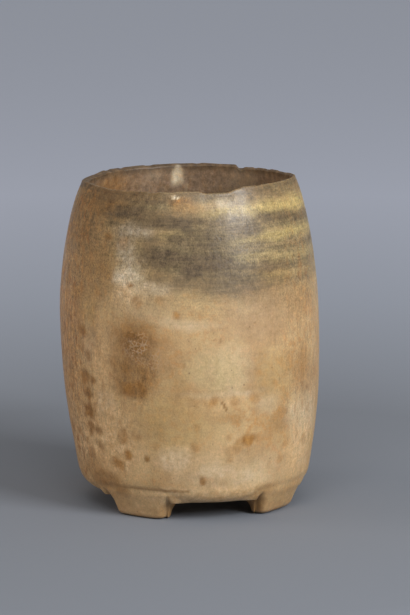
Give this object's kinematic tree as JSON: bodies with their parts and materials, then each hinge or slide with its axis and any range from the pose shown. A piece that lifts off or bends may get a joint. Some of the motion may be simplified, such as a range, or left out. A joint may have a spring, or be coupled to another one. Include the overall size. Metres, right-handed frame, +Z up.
{
  "type": "footed vase",
  "caption": "Barrel-shaped stone vase with a wide open mouth, standing on short feet, carved from one block of banded calcite.",
  "frame": {"origin": "on the ground, under the middle of the vase's outline", "axes": "+Z up out of the mouth, -Y towards the front, midway between the two front feet, +X to the right"},
  "size_m": [0.1118, 0.1109, 0.1428],
  "materials": {
    "body_calcite": "banded honey-coloured calcite, ground smooth, softly worn, with dull brown and grey-olive bands",
    "foot_calcite": "the same calcite, rubbed and stained by the ground"
  },
  "bodies": {
    "root": {"vase_body": "body_calcite", "foot_front_left": "foot_calcite", "foot_front_right": "foot_calcite", "foot_rear_right": "foot_calcite", "foot_rear_left": "foot_calcite"}
  },
  "joints": []
}
